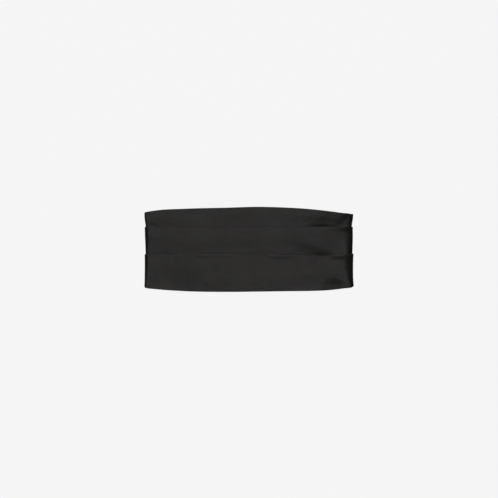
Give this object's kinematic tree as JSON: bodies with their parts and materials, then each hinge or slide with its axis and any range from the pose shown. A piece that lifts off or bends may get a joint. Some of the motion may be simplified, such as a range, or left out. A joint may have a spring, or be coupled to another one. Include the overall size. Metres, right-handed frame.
{
  "type": "cummerbund",
  "caption": "Pleated satin cummerbund, fastened behind and laid flat with its front up, with bound ends, short straps and a plain clasp.",
  "frame": {"origin": "on the surface that the folded cummerbund lies on, under the middle of its box", "axes": "+X along the waist, to the right as seen from in front; +Y towards the top edge as worn; +Z out of the front, which lies upwards"},
  "size_m": [0.3454, 0.1406, 0.0203],
  "materials": {
    "satin": "soft black silk satin with a fine close weave",
    "band_satin": "the same black satin, pressed flat and topstitched",
    "webbing": "matte black elastic webbing, ribbed along its length",
    "clasp_enamel": "black enamelled metal, smooth and slightly glossy"
  },
  "bodies": {
    "root": {"top_pleat": "satin", "middle_pleat": "satin", "bottom_pleat": "satin", "left_end_band": "band_satin", "right_end_band": "band_satin", "left_strap": "webbing", "right_strap": "webbing", "clasp": "clasp_enamel"}
  },
  "joints": []
}
